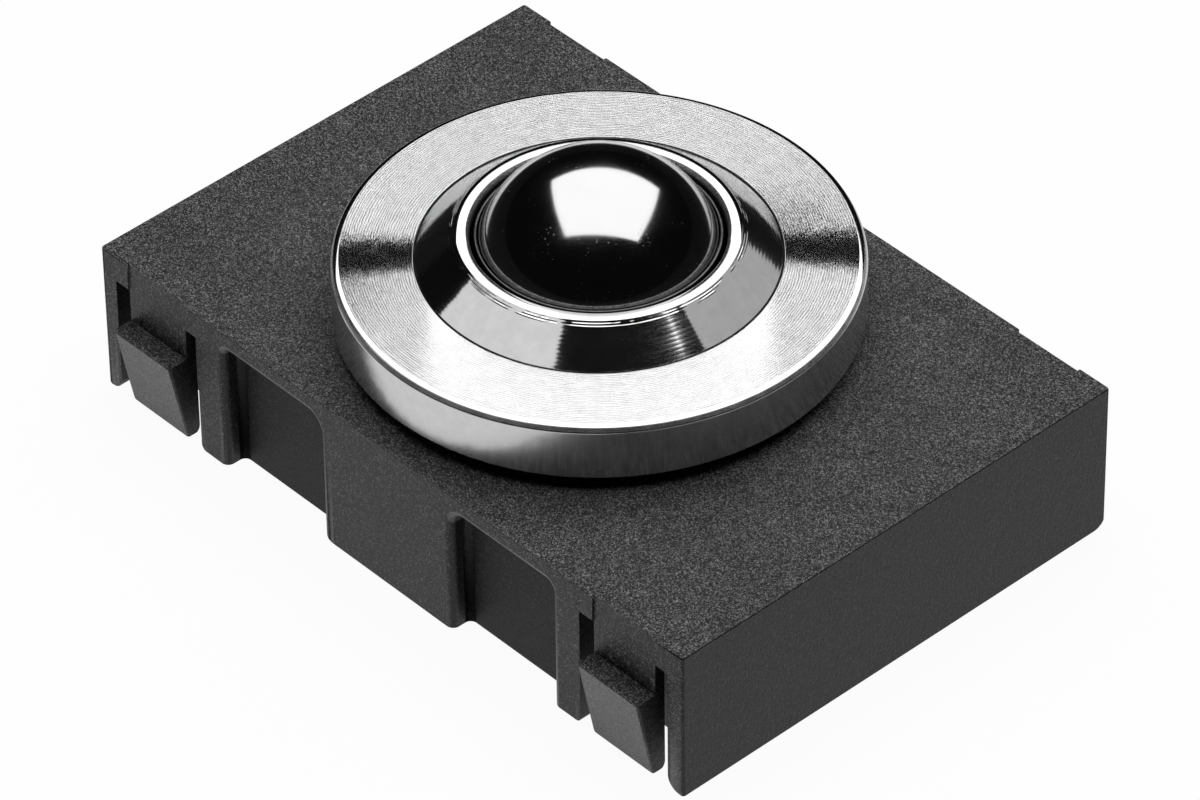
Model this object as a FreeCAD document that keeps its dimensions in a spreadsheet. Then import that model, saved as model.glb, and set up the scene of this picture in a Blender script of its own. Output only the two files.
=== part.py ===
import FreeCAD, Part
import Sketcher
import math
import os

# Ball castor: a turned steel ball transfer unit in a black moulded carrier with four snap hooks.
# Origin at the middle of the footprint, on the plane that the skirt stands on; +Z points up
# through the ball, and the long sides of the carrier run along X.

SHEET = "Sizes"
SIZES = {
    # Carrier block
    "block_length": 49.7,
    "block_height": 10.4,
    "plate_thickness": 1.9,
    "end_wall": 1.25,
    "skirt_wall": 1.5,
    "side_core": 0.35,
    "rib_thickness": 1.2,
    "corner_round": 0.2,
    "top_edge_round": 0.15,
    "foot_round": 0.5,
    "front_end_foot_round": 0.35,
    "back_end_foot_round": 0.9,
    # Recesses beside the middle block of each long side
    "middle_half": 5.6,
    "recess_depth": 1.42,
    "recess_lip": 1.4,
    "recess_outer_round": 0.5,
    "recess_inner_round": 0.45,
    "recess_near_crown": 1.1,
    "recess_far_crown": 0.55,
    "leg_width": 2.3,
    # Snap hooks
    "hook_width": 5.0,
    "hook_thickness": 0.7,
    "slot_width": 1.1,
    "front_panel_depth": 0.12,
    "back_panel_depth": 0.28,
    "hook_room": 2.5,
    "hook_back_wall": 1.25,
    "hook_bottom": 0.1,
    "hook_heel_round": 0.65,
    "hook_toe_round": 0.25,
    "leg_toe_round": 0.4,
    "end_toe_round": 0.9,
    "catch_height": 6.1,
    "catch_reach": 1.22,
    "catch_land": 0.15,
    "foot_reach": 0.05,
    # Socket for the ball unit
    "socket_clearance": 0.05,
    "socket_wall": 1.5,
    "seat_height": 0.9,
    # Balls and race
    "ball_radius": 7.5,
    "ball_rise": 10.03,
    "support_radius": 1.2,
    "running_gap": 0.04,
    "cup_wall": 0.9,
    "cup_clearance": 0.05,
    "cup_chamfer": 0.4,
    # Steel housing
    "housing_wall": 1.07,
    "body_depth": 10.8,
    "body_chamfer": 0.6,
    "rolled_lip_height": 0.8,
    "rolled_lip_reach": 0.9,
    "flange_reach": 3.5,
    "flange_side": 3.36,
    "flange_foot_chamfer": 0.15,
    "side_facet_width": 0.3,
    "side_facet_height": 0.3,
    "top_facet_width": 0.45,
    "top_facet_height": 0.14,
    "cone_run": 2.3,
    "cone_height": 1.86,
    "rim_wall": 0.88,
    "mouth_clearance": 0.31,
    "mouth_taper_width": 0.18,
    "mouth_taper_height": 0.4,
    "lip_thickness": 0.76,
    "groove_height": 1.0,
    "groove_depth": 0.78,
    "ledge_clearance": 0.5,
    "shoulder_clearance": 0.44,
    "shoulder_overlap": 0.3,
    # Retaining ring and seal
    "ring_gap": 0.06,
    "ring_skin": 0.16,
    "ring_top_drop": 0.26,
    "ring_foot_height": 0.45,
    "ring_clearance": 0.04,
    "seal_gap": 0.05,
}
SUPPORT_ROWS = 4
ROW_STEP_RATIO = 1.1
BALL_STEP_RATIO = 1.02
CUT_MARGIN = 1.0
TOUCHING = 1e-4
SIDES = (-1, 1)


class Size:
    """A length that keeps its number together with the sheet formula that gives it."""

    def __init__(self, value, formula):
        self.value = value
        self.formula = formula

    def __add__(self, other):
        other = as_size(other)
        return Size(self.value + other.value, "(%s + %s)" % (self.formula, other.formula))

    def __sub__(self, other):
        other = as_size(other)
        return Size(self.value - other.value, "(%s - %s)" % (self.formula, other.formula))

    def __mul__(self, other):
        other = as_size(other)
        return Size(self.value * other.value, "(%s * %s)" % (self.formula, other.formula))

    def __truediv__(self, other):
        other = as_size(other)
        return Size(self.value / other.value, "(%s / %s)" % (self.formula, other.formula))

    def __neg__(self):
        return Size(-self.value, "(-1 * %s)" % self.formula)


def as_size(value):
    if isinstance(value, Size):
        return value
    return Size(float(value), repr(float(value)))


def chord(radius, height):
    """Distance from the axis of a point on a circle of this radius, this far above its centre."""
    rest = radius * radius - height * height
    return Size(math.sqrt(rest.value), "sqrt(%s)" % rest.formula)


def sine(angle):
    return Size(math.sin(math.radians(angle.value)), "sin(%s)" % angle.formula)


def cosine(angle):
    return Size(math.cos(math.radians(angle.value)), "cos(%s)" % angle.formula)


def arc_sine(ratio):
    return Size(math.degrees(math.asin(ratio.value)), "asin(%s)" % ratio.formula)


def degrees(number):
    return Size(number, "%r deg" % number)


ZERO = as_size(0)
doc = FreeCAD.newDocument("ball_castor")
sheet = doc.addObject("Spreadsheet::Sheet", SHEET)
for row, (name, number) in enumerate(SIZES.items(), start=1):
    sheet.set("A%d" % row, name)
    sheet.set("B%d" % row, str(number))
    sheet.setAlias("B%d" % row, name)
doc.recompute()


def size(name):
    return Size(sheet.get(name), "%s.%s" % (SHEET, name))


def bind(item, prop, value):
    value = as_size(value)
    item.setExpression(prop, value.formula)


def new_body(name):
    body = doc.addObject("PartDesign::Body", name)
    body.Label = name
    return body


def origin_plane(body, role):
    return next(item for item in body.Origin.OriginFeatures if item.Role == role)


def new_sketch(body, name, role, offset=ZERO):
    """A sketch on one of the body's origin planes, moved along that plane's normal."""
    sketch = body.newObject("Sketcher::SketchObject", name)
    sketch.AttachmentSupport = [(origin_plane(body, role), "")]
    sketch.MapMode = "FlatFace"
    sketch.AttachmentOffset = FreeCAD.Placement(FreeCAD.Vector(0, 0, offset.value), FreeCAD.Rotation())
    bind(sketch, "AttachmentOffset.Base.z", offset)
    return sketch


def dimension(sketch, kind, *where_and_value):
    value = as_size(where_and_value[-1])
    index = sketch.addConstraint(Sketcher.Constraint(kind, *where_and_value[:-1], value.value))
    bind(sketch, "Constraints[%d]" % index, value)


def add_side(sketch, start, end, arc):
    """Add one side; return its index and the vertex numbers of its two ends."""
    first = FreeCAD.Vector(start[0].value, start[1].value, 0)
    last = FreeCAD.Vector(end[0].value, end[1].value, 0)
    if arc is None:
        return sketch.addGeometry(Part.LineSegment(first, last)), 1, 2
    radius, middle = arc
    centre = FreeCAD.Vector(middle[0].value, middle[1].value, 0)
    from_angle = math.atan2(first.y - centre.y, first.x - centre.x)
    to_angle = math.atan2(last.y - centre.y, last.x - centre.x)
    circle = Part.Circle(centre, FreeCAD.Vector(0, 0, 1), radius.value)
    if (to_angle - from_angle) % (2 * math.pi) < math.pi:
        return sketch.addGeometry(Part.ArcOfCircle(circle, from_angle, to_angle)), 1, 2
    return sketch.addGeometry(Part.ArcOfCircle(circle, to_angle, from_angle)), 2, 1


def draw_outline(sketch, corners, arcs=None):
    """Draw a closed outline; arcs gives a side's radius and centre by the side's number."""
    arcs = arcs or {}
    corners = [(as_size(x), as_size(y)) for x, y in corners]
    sides = []
    for number, corner in enumerate(corners):
        following = corners[(number + 1) % len(corners)]
        sides.append(add_side(sketch, corner, following, arcs.get(number)))
    for number, (side, first, last) in enumerate(sides):
        next_side, next_first, next_last = sides[(number + 1) % len(sides)]
        sketch.addConstraint(Sketcher.Constraint("Coincident", side, last, next_side, next_first))
    for (side, first, last), (x, y) in zip(sides, corners):
        dimension(sketch, "DistanceX", -1, 1, side, first, x)
        dimension(sketch, "DistanceY", -1, 1, side, first, y)
    for number, (radius, middle) in arcs.items():
        dimension(sketch, "Radius", sides[number][0], radius)


def rectangle(x_start, x_end, y_start, y_end):
    return [(x_start, y_start), (x_end, y_start), (x_end, y_end), (x_start, y_end)]


def draw_circle(sketch, radius):
    circle = Part.Circle(FreeCAD.Vector(0, 0, 0), FreeCAD.Vector(0, 0, 1), radius.value)
    index = sketch.addGeometry(circle)
    sketch.addConstraint(Sketcher.Constraint("Coincident", index, 3, -1, 1))
    dimension(sketch, "Radius", index, radius)


def feature(body, kind, name, sketch, length, reverse=False):
    """Pad or pocket a sketch, and make sure that it changed the solid."""
    before = body.Shape.Volume if body.Tip else 0.0
    made = body.newObject("PartDesign::" + kind, name)
    made.Profile = sketch
    made.Reversed = reverse
    bind(made, "Length", length)
    doc.recompute()
    change = body.Shape.Volume - before
    if (change <= 0) if kind == "Pad" else (change >= 0):
        raise RuntimeError("%s left the solid as it was" % name)
    return made


def revolve(body, name, sketch):
    made = body.newObject("PartDesign::Revolution", name)
    made.Profile = sketch
    made.ReferenceAxis = (sketch, ["V_Axis"])
    made.Angle = 360.0
    doc.recompute()
    return made


def turned(name, corners, arcs=None):
    """A turned piece: its section, as radius and height, spun about the upright axis."""
    body = new_body(name)
    sketch = new_sketch(body, name + "_section", "XZ_Plane")
    draw_outline(sketch, corners, arcs)
    revolve(body, name + "_turning", sketch)
    return body


def fillet(body, name, chosen, radius):
    """Round the edges of the body's last feature for which chosen(edge) is true."""
    base = body.Tip
    names = ["Edge%d" % (n + 1) for n, edge in enumerate(base.Shape.Edges) if chosen(edge)]
    made = body.newObject("PartDesign::Fillet", name)
    made.Base = (base, names)
    bind(made, "Radius", radius)
    doc.recompute()
    return made


def same(value, wanted):
    return abs(value - as_size(wanted).value) < TOUCHING


def is_upright(edge, x, y):
    """Whether the edge stands upright at this place in plan, in any of the four quarters."""
    ends = [vertex.Point for vertex in edge.Vertexes]
    if len(ends) != 2 or same(ends[0].z, ends[1].z):
        return False
    return all(same(abs(p.x), x) and same(abs(p.y), y) for p in ends)


race_centre_radius = size("ball_radius") + size("running_gap") + size("support_radius")
race_radius = race_centre_radius + size("support_radius") + size("running_gap")
cup_radius = race_radius + size("cup_wall")
bore_radius = cup_radius + size("cup_clearance")
body_radius = bore_radius + size("housing_wall")
flange_radius = body_radius + size("flange_reach")
socket_radius = body_radius + size("socket_clearance")
socket_outer = socket_radius + size("socket_wall")

height = size("block_height")
half_length = size("block_length") / 2
recess_back = socket_outer + size("side_core")
recess_face = recess_back + size("skirt_wall")
half_width = recess_face + size("recess_depth")
plate_underside = height - size("plate_thickness")
recess_top = height - size("recess_lip")
seat_level = height + size("seat_height")

slot_outer = half_length - size("end_wall")
hook_outer = slot_outer - size("slot_width")
hook_inner = hook_outer - size("hook_width")
slot_inner = hook_inner - size("slot_width")
recess_near = size("middle_half")
recess_far = slot_inner - size("leg_width")
room_wall = half_width - size("front_panel_depth") - size("hook_thickness") - size("hook_room")
chamber_wall = room_wall - size("hook_back_wall")
catch_tip = half_width + size("catch_reach")

flange_edge = seat_level + size("flange_side")
facet_level = flange_edge + size("side_facet_height")
flange_top = facet_level + size("top_facet_height")
rim_level = flange_top + size("cone_height")
lip_bottom = rim_level - size("lip_thickness")
ledge_level = lip_bottom - size("groove_height")
body_bottom = seat_level - size("body_depth")
cup_bottom = body_bottom + size("rolled_lip_height")
ball_centre = seat_level + size("ball_rise") - size("ball_radius")
row_step = arc_sine(size("support_radius") / race_centre_radius) * 2 * ROW_STEP_RATIO
top_row_level = ball_centre - race_centre_radius * cosine(row_step * SUPPORT_ROWS)
shoulder_level = top_row_level + size("support_radius") + size("shoulder_clearance")
lip_bore = chord(size("ball_radius"), lip_bottom - ball_centre) + size("mouth_clearance")
groove_radius = lip_bore + size("groove_depth")


def panel_face(y_side):
    depth = size("front_panel_depth") if y_side < 0 else size("back_panel_depth")
    return half_width - depth


def facing_sketch(body, name, y_side):
    """A sketch in elevation, just outside the hooks of one long side."""
    offset = catch_tip + CUT_MARGIN
    return new_sketch(body, name, "XZ_Plane", offset * -y_side)


def cut_inward(body, name, sketch, y_side, stop):
    """Cut a sketch of the elevation from outside the hooks in to this distance from the middle."""
    feature(body, "Pocket", name, sketch, catch_tip + CUT_MARGIN - stop, reverse=y_side > 0)


def draw_toe(sketch, x, inward, bottom, radius):
    """The waste that rounds the lower corner of a foot whose side stands at x."""
    inward = as_size(inward)
    waste = size("slot_width") / 4
    outside = x - inward * waste
    inside = x + inward * radius
    corners = [(inside, bottom), (x, bottom + radius), (outside, bottom + radius),
               (outside, bottom - CUT_MARGIN), (inside, bottom - CUT_MARGIN)]
    draw_outline(sketch, corners, {0: (radius, (inside, bottom + radius))})


def add_block(body):
    sketch = new_sketch(body, "block_plan", "XY_Plane")
    draw_outline(sketch, rectangle(-half_length, half_length, -half_width, half_width))
    feature(body, "Pad", "block", sketch, height)
    fillet(body, "corner_rounds", lambda edge: is_upright(edge, half_length, half_width),
           size("corner_round"))
    fillet(body, "top_edge_rounds", lambda edge: all(same(v.Point.z, height) for v in edge.Vertexes),
           size("top_edge_round"))


def cut_recesses(body):
    """Two shallow recesses in each long side, open at the foot, with soft edges."""
    near_crown = size("recess_near_crown")
    far_crown = size("recess_far_crown")
    corners = [(recess_near, as_size(-CUT_MARGIN)), (recess_far, as_size(-CUT_MARGIN)),
               (recess_far, recess_top - far_crown), (recess_far - far_crown, recess_top),
               (recess_near + near_crown, recess_top), (recess_near, recess_top - near_crown)]
    far_middle = (recess_far - far_crown, recess_top - far_crown)
    near_middle = (recess_near + near_crown, recess_top - near_crown)
    for y_side in SIDES:
        sketch = facing_sketch(body, "recess_elevation", y_side)
        for x_side in SIDES:
            placed = [(x * x_side, z) for x, z in corners]
            arcs = {2: (far_crown, (far_middle[0] * x_side, far_middle[1])),
                    4: (near_crown, (near_middle[0] * x_side, near_middle[1]))}
            draw_outline(sketch, placed, arcs)
        cut_inward(body, "recesses", sketch, y_side, recess_face)

    def borders_recess(edge, y):
        points = [vertex.Point for vertex in edge.Vertexes]
        if all(same(p.z, 0) for p in points):
            return False
        return all(same(abs(p.y), y) and p.z < recess_top.value + TOUCHING
                   and recess_near.value - TOUCHING < abs(p.x) < recess_far.value + TOUCHING
                   for p in points)

    fillet(body, "recess_outer_rounds", lambda edge: borders_recess(edge, half_width),
           size("recess_outer_round"))
    fillet(body, "recess_inner_rounds", lambda edge: borders_recess(edge, recess_face),
           size("recess_inner_round"))


def round_feet(body):
    """Round the outer foot of the long sides; the ends have radii of their own, front and back."""
    middle = {y_side: size("foot_round") for y_side in SIDES}
    ends = {-1: size("front_end_foot_round"), 1: size("back_end_foot_round")}
    stretches = [(-slot_inner, slot_inner, middle),
                 (slot_outer, half_length + CUT_MARGIN, ends),
                 (-half_length - CUT_MARGIN, -slot_outer, ends)]
    for start, end, radii in stretches:
        sketch = new_sketch(body, "foot_section", "YZ_Plane", start)
        for y_side, radius in radii.items():
            inside = half_width - radius
            corners = [(inside, ZERO), (half_width, radius), (half_width + CUT_MARGIN, radius),
                       (half_width + CUT_MARGIN, as_size(-CUT_MARGIN)), (inside, as_size(-CUT_MARGIN))]
            placed = [(y * y_side, z) for y, z in corners]
            draw_outline(sketch, placed, {0: (radius, (inside * y_side, radius))})
        feature(body, "Pocket", "foot_rounds", sketch, end - start, reverse=True)


def cut_chambers(body):
    """Hollow the block from below, leaving the socket wall, the end ribs and the side walls."""
    rib_face = size("rib_thickness") / 2
    corners = [(chord(socket_outer, rib_face), rib_face), (slot_outer, rib_face),
               (slot_outer, chamber_wall), (recess_far, chamber_wall), (recess_far, recess_back),
               (recess_near, recess_back), (recess_near, chord(socket_outer, recess_near))]
    arc_side = len(corners) - 1
    for x_side in SIDES:
        sketch = new_sketch(body, "chamber_plan", "XY_Plane")
        for y_side in SIDES:
            placed = [(x * x_side, y * y_side) for x, y in corners]
            draw_outline(sketch, placed, {arc_side: (socket_outer, (ZERO, ZERO))})
        feature(body, "Pocket", "chambers", sketch, plate_underside, reverse=True)
    half_core = recess_near - size("skirt_wall")
    sketch = new_sketch(body, "core_plan", "XY_Plane")
    for y_side in SIDES:
        draw_outline(sketch, rectangle(-half_core, half_core, recess_back * y_side,
                                       (half_width - size("skirt_wall")) * y_side))
    feature(body, "Pocket", "middle_cores", sketch, plate_underside, reverse=True)


def cut_hook_windows(body):
    """Open the skirt around each hook, and set the wall above it back to the hook's face."""
    windows = new_sketch(body, "window_plan", "XY_Plane")
    panels = new_sketch(body, "panel_plan", "XY_Plane", plate_underside)
    for x_side in SIDES:
        for y_side in SIDES:
            outside = (half_width + CUT_MARGIN) * y_side
            draw_outline(windows, rectangle(slot_inner * x_side, slot_outer * x_side,
                                            room_wall * y_side, outside))
            draw_outline(panels, rectangle(hook_inner * x_side, hook_outer * x_side,
                                           panel_face(y_side) * y_side, outside))
    feature(body, "Pocket", "hook_windows", windows, plate_underside, reverse=True)
    feature(body, "Pocket", "hook_panels", panels, size("plate_thickness") + CUT_MARGIN, reverse=True)


def add_hooks(body):
    """Four springy hooks that hang from the top plate, each with a flat catch and a sloping nose."""
    root = plate_underside + size("plate_thickness") / 4
    bottom = size("hook_bottom")
    heel = size("hook_heel_round")
    catch = size("catch_height")
    for y_side in SIDES:
        face = panel_face(y_side)
        back = face - size("hook_thickness")
        corners = [(back, root), (face, root), (face, catch), (catch_tip, catch),
                   (catch_tip, catch - size("catch_land")), (half_width + size("foot_reach"), bottom),
                   (back + heel, bottom), (back, bottom + heel)]
        placed = [(y * y_side, z) for y, z in corners]
        heel_middle = ((back + heel) * y_side, bottom + heel)
        for start in (hook_inner, -hook_outer):
            sketch = new_sketch(body, "hook_section", "YZ_Plane", start)
            draw_outline(sketch, placed, {6: (heel, heel_middle)})
            feature(body, "Pad", "hook", sketch, size("hook_width"))


def round_toes(body):
    """Round the lower corners of the hooks and of the legs beside them."""
    for y_side in SIDES:
        hook_toes = facing_sketch(body, "hook_toes_elevation", y_side)
        leg_toes = facing_sketch(body, "leg_toes_elevation", y_side)
        for x_side in SIDES:
            for x, inward in ((hook_inner, x_side), (hook_outer, -x_side)):
                draw_toe(hook_toes, x * x_side, inward, size("hook_bottom"), size("hook_toe_round"))
            draw_toe(leg_toes, slot_inner * x_side, -x_side, ZERO, size("leg_toe_round"))
            draw_toe(leg_toes, slot_outer * x_side, x_side, ZERO, size("end_toe_round"))
        behind_hook = panel_face(y_side) - size("hook_thickness") * 2
        cut_inward(body, "hook_toes", hook_toes, y_side, behind_hook)
        cut_inward(body, "leg_toes", leg_toes, y_side, room_wall)


def add_socket(body):
    """The raised seat under the flange, and the bore that takes the ball unit."""
    boss = new_sketch(body, "seat_plan", "XY_Plane", height)
    draw_circle(boss, socket_outer)
    feature(body, "Pad", "seat", boss, size("seat_height"))
    bore = new_sketch(body, "bore_plan", "XY_Plane")
    draw_circle(bore, socket_radius)
    feature(body, "Pocket", "bore", bore, seat_level + CUT_MARGIN, reverse=True)


def make_carrier():
    body = new_body("carrier")
    add_block(body)
    cut_recesses(body)
    round_feet(body)
    cut_hook_windows(body)
    cut_chambers(body)
    add_socket(body)
    add_hooks(body)
    round_toes(body)
    return body


def make_housing():
    """Flange, cone and rim outside; mouth, seal groove, shoulder and cup bore inside."""
    rolled_bore = bore_radius - size("rolled_lip_reach")
    side_facet = flange_radius - size("side_facet_width")
    rim_radius = lip_bore + size("rim_wall")
    mouth_foot = rim_level - size("mouth_taper_height")
    corners = [
        (rolled_bore, body_bottom),
        (body_radius - size("body_chamfer"), body_bottom),
        (body_radius, body_bottom + size("body_chamfer")),
        (body_radius, seat_level),
        (flange_radius - size("flange_foot_chamfer"), seat_level),
        (flange_radius, seat_level + size("flange_foot_chamfer")),
        (flange_radius, flange_edge),
        (side_facet, facet_level),
        (side_facet - size("top_facet_width"), flange_top),
        (rim_radius + size("cone_run"), flange_top),
        (rim_radius, rim_level),
        (lip_bore + size("mouth_taper_width"), rim_level),
        (lip_bore, mouth_foot),
        (lip_bore, lip_bottom),
        (groove_radius, lip_bottom),
        (groove_radius, ledge_level),
        (chord(size("ball_radius"), ledge_level - ball_centre) + size("ledge_clearance"), ledge_level),
        (race_centre_radius + size("shoulder_overlap"), shoulder_level),
        (bore_radius, shoulder_level),
        (bore_radius, cup_bottom),
        (rolled_bore, cup_bottom),
    ]
    return turned("housing", corners)


def make_ball_cup():
    """The hardened cup that the support balls roll in, held between shoulder and rolled lip."""
    chamfer = size("cup_chamfer")
    race_edge = chord(race_radius, ball_centre - shoulder_level)
    corners = [(ZERO, cup_bottom), (cup_radius - chamfer, cup_bottom),
               (cup_radius, cup_bottom + chamfer), (cup_radius, shoulder_level),
               (race_edge, shoulder_level), (ZERO, ball_centre - race_radius)]
    return turned("ball_cup", corners, {4: (race_radius, (ZERO, ball_centre))})


def make_load_ball():
    ball = doc.addObject("Part::Sphere", "load_ball")
    bind(ball, "Radius", size("ball_radius"))
    bind(ball, "Placement.Base.z", ball_centre)
    return ball


def ball_count(ring_radius):
    """How many balls go round a ring of this radius, side by side with a little play."""
    half_pitch = size("support_radius").value * BALL_STEP_RATIO
    return int(math.pi / math.asin(half_pitch / ring_radius))


def make_support_balls():
    """One ball under the load ball and rings of balls around it, all at the same distance."""
    balls = []
    for row in range(SUPPORT_ROWS + 1):
        tilt = row_step * row
        ring_radius = race_centre_radius * sine(tilt)
        count = ball_count(ring_radius.value) if row else 1
        for number in range(count):
            turn = degrees(360.0 * (number + row % 2 / 2) / count)
            ball = doc.addObject("Part::Sphere", "support_ball")
            bind(ball, "Radius", size("support_radius"))
            bind(ball, "Placement.Base.x", ring_radius * cosine(turn))
            bind(ball, "Placement.Base.y", ring_radius * sine(turn))
            bind(ball, "Placement.Base.z", ball_centre - race_centre_radius * cosine(tilt))
            balls.append(ball)
    group = doc.addObject("Part::MultiFuse", "support_balls")
    group.Shapes = balls
    return group


def make_retaining_ring():
    """A thin ring clipped in the groove, with a lip that follows the ball up to the mouth."""
    inner = size("ball_radius") + size("ring_gap")
    outer = inner + size("ring_skin")
    foot_top = lip_bottom - size("ring_clearance")
    foot_bottom = foot_top - size("ring_foot_height")
    top = rim_level - size("ring_top_drop")
    edge = groove_radius - size("ring_clearance")
    corners = [(chord(inner, foot_bottom - ball_centre), foot_bottom), (edge, foot_bottom),
               (edge, foot_top), (chord(outer, foot_top - ball_centre), foot_top),
               (chord(outer, top - ball_centre), top), (chord(inner, top - ball_centre), top)]
    middle = (ZERO, ball_centre)
    return turned("retaining_ring", corners, {3: (outer, middle), 5: (inner, middle)})


def make_seal_ring():
    """The felt wiper under the retaining ring."""
    inner = size("ball_radius") + size("seal_gap")
    top = lip_bottom - size("ring_clearance") * 2 - size("ring_foot_height")
    bottom = ledge_level + size("ring_clearance")
    edge = groove_radius - size("ring_clearance")
    corners = [(chord(inner, bottom - ball_centre), bottom), (edge, bottom), (edge, top),
               (chord(inner, top - ball_centre), top)]
    return turned("seal_ring", corners, {3: (inner, (ZERO, ball_centre))})


def check_and_export(nodes):
    os.makedirs("parts", exist_ok=True)
    for item in doc.Objects:
        if "Invalid" in item.State or "Error" in item.State:
            raise RuntimeError("%s did not recompute: %s" % (item.Label, item.State))
    for node in nodes:
        if node.Shape.isNull() or not node.Shape.isValid() or not node.Shape.Solids:
            raise RuntimeError("%s has no valid solid" % node.Label)
        node.Shape.exportStep("parts/%s.step" % node.Label)


nodes = [make_carrier(), make_housing(), make_ball_cup(), make_load_ball(), make_support_balls(),
         make_retaining_ring(), make_seal_ring()]
doc.recompute()
check_and_export(nodes)
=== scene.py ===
import math

import bmesh
import bpy
from mathutils import Matrix, Vector


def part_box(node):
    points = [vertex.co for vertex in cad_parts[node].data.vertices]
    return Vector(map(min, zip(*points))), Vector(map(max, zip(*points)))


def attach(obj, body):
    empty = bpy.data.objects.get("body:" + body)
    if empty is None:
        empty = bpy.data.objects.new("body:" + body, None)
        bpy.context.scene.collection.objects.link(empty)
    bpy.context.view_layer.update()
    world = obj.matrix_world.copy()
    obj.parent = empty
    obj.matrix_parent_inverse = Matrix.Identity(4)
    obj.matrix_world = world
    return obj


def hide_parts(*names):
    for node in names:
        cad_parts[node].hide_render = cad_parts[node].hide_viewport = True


# Ball castor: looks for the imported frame. Lengths are metres, in the frame's own axes:
# +X along the carrier's long sides, +Z up through the ball, the floor at zero.

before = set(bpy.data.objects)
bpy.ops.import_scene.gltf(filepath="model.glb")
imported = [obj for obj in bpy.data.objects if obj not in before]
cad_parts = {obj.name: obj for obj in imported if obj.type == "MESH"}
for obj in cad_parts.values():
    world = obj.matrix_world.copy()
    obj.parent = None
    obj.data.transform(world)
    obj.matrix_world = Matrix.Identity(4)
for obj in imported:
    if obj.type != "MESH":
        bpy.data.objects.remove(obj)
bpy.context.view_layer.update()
scene = bpy.context.scene

MM = 0.001
FULL_TURN = 2 * math.pi

# Photograph
IMAGE_WIDTH = 1200
FOCAL_PIXELS = 8293.1
SENSOR_WIDTH_MM = 36.0
CAMERA_AZIMUTH = 47.683
CAMERA_ELEVATION = 40.412
CAMERA_ROLL = -0.805
CAMERA_DISTANCE = 478.47 * MM
CAMERA_TARGET = Vector((3.253, -3.032, 7.8)) * MM
CAMERA_REACH = (0.01, 10)

# Mesh working limits
MERGE_DISTANCE = 0.001 * MM
CLOSE_CUTS = 0.012 * MM
FLAT_ANGLE = math.radians(0.6)
SHARP_ANGLE = math.radians(32)
FACET_ANGLE = math.radians(22)
STRAIGHT_WALL = 0.99999
SMALL_WALL_AREA = 0.3 * MM * MM
BROAD_FACE_AREA = 4 * MM * MM
TURNING_STEPS = 256
BROAD_FACE_WEIGHT = 80

# Small rounds on the edges
CARRIER_EDGE_ROUND = 0.05 * MM
HOOK_EDGE_ROUND = 0.16 * MM
FOOT_EDGE_ROUND = 0.12 * MM
STEEL_EDGE_ROUND = 0.05 * MM

# Carrier: the outer wall, the back of the skirt, and the feet's rounded lower corners, each as
# its place along the front side, the way it points inwards, and its radius
WALL = 16.82 * MM
SKIRT_BACK = 15.32 * MM
CUT_STEP = 0.1 * MM
FOOT_EDGE_BAND = 0.51 * MM
UNDER_PLATE = 8.6 * MM
HOOK_SPAN = (17.4 * MM, 22.6 * MM)
CORNER_STEPS = 7
FOOT_CORNERS = (
    (-24.85 * MM, 1, 0.35 * MM), (-23.6 * MM, -1, 0.9 * MM), (-16.4 * MM, 1, 0.4 * MM),
    (-5.6 * MM, 1, 0.9 * MM), (14.1 * MM, 1, 0.4 * MM), (16.4 * MM, -1, 0.4 * MM),
    (23.6 * MM, 1, 0.9 * MM),
)

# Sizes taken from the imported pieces
_, carrier_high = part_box("carrier")
housing_low, housing_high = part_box("housing")
ball_low, ball_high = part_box("load_ball")
ring_low, ring_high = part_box("retaining_ring")
_, cup_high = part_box("ball_cup")

CARRIER_END = carrier_high.x
SEAT = carrier_high.z
FLANGE_RADIUS = housing_high.x
RIM = housing_high.z
BODY_BOTTOM = housing_low.z
BALL_RADIUS = (ball_high.z - ball_low.z) / 2
BALL_CENTRE = ball_high.z - BALL_RADIUS
CUP_TOP = cup_high.z
RING_TOP = ring_high.z
RING_FOOT = ring_low.z

# Housing: facets and tapers are given as (run, fall)
BODY_RADIUS = 12.0 * MM
BORE_RADIUS = cup_high.x + 0.05 * MM
CUP_MOUTH_RADIUS = 9.04 * MM
CONE_HEIGHT = 1.86 * MM
CONE_RUN = 2.3 * MM
FLANGE_TOP = RIM - CONE_HEIGHT
TOP_FACET = (0.34 * MM, 0.11 * MM)
SIDE_FACET = (0.17 * MM, 0.3 * MM)
FOOT_CHAMFER = 0.15 * MM
BODY_CHAMFER = 0.6 * MM
MOUTH_CLEARANCE = 0.31 * MM
RIM_WALL = 0.88 * MM
MOUTH_TAPER = (0.18 * MM, 0.4 * MM)
LIP_BOTTOM = RIM - 0.76 * MM
LEDGE = LIP_BOTTOM - 1.0 * MM
LEDGE_CLEARANCE = 0.5 * MM
GROOVE_DEPTH = 0.78 * MM
ROLLED_LIP = (0.9 * MM, 0.8 * MM)
FOOT_GROOVE = (0.11 * MM, 0.08 * MM)

# Retaining ring
RING_GAP = 0.06 * MM
RING_SKIN = 0.16 * MM
RING_FOOT_HEIGHT = 0.45 * MM
RING_CLEARANCE = 0.04 * MM
RING_LIP_STEPS = (8, 10)
BALL_SUBDIVISIONS = 6


def ball_radius_at(height):
    """Distance from the axis to the ball's surface at this height."""
    return math.sqrt(BALL_RADIUS ** 2 - (height - BALL_CENTRE) ** 2)


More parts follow.
